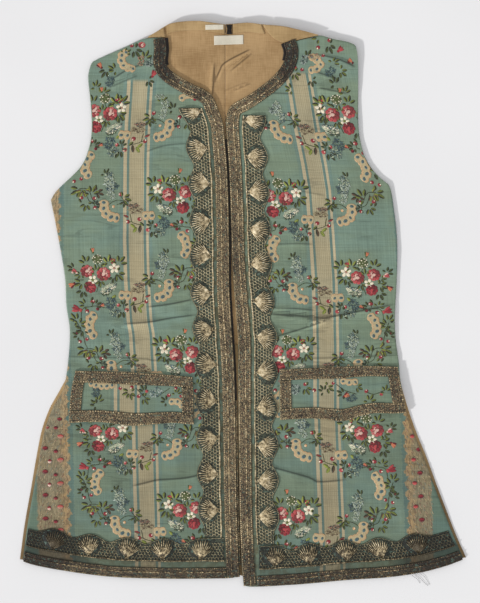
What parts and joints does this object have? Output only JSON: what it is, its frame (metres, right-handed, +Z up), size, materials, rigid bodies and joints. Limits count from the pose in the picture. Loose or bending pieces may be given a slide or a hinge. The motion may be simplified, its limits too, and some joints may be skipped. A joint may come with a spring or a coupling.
{
  "type": "embroidered waistcoat",
  "caption": "Long sleeveless silk waistcoat laid flat, with brocaded fronts, metal braid, scalloped lace and pocket flaps.",
  "frame": {"origin": "on the surface that the waistcoat lies on, below the middle of its outline", "axes": "+X across the garment to the right as seen, +Y from the hem to the neck, +Z up from the surface"},
  "size_m": [0.602, 0.7623, 0.0106],
  "materials": {
    "silk": "satin, brocaded in colours",
    "linen": "matt plain weave",
    "lining": "matt plain weave, creased",
    "metal_braid": "tarnished metal thread",
    "metal_lace": "tarnished metal thread with bright shells",
    "white_tape": "matt cotton tape",
    "black_tape": "matt tape"
  },
  "bodies": {
    "root": {"back_left": "linen", "back_right": "linen", "back_lining_left": "lining", "back_lining_right": "lining", "neck_band_left": "linen", "neck_band_right": "linen", "neck_tie": "black_tape", "label_small": "white_tape", "label_large": "white_tape", "shoulder_left": "linen", "shoulder_right": "linen", "front_left": "silk", "front_right": "silk", "braid_edge_left": "metal_braid", "braid_edge_right": "metal_braid", "braid_hem_left": "metal_braid", "braid_hem_right": "metal_braid", "lace_front_left": "metal_lace", "lace_front_right": "metal_lace", "lace_hem_left": "metal_lace", "lace_hem_right": "metal_lace", "flap_left": "silk", "flap_right": "silk", "flap_braid_top_left": "metal_braid", "flap_braid_top_right": "metal_braid", "flap_braid_bottom_left": "metal_braid", "flap_braid_bottom_right": "metal_braid", "flap_braid_inner_left": "metal_braid", "flap_braid_inner_right": "metal_braid", "flap_braid_outer_left": "metal_braid", "flap_braid_outer_right": "metal_braid"}
  },
  "joints": []
}
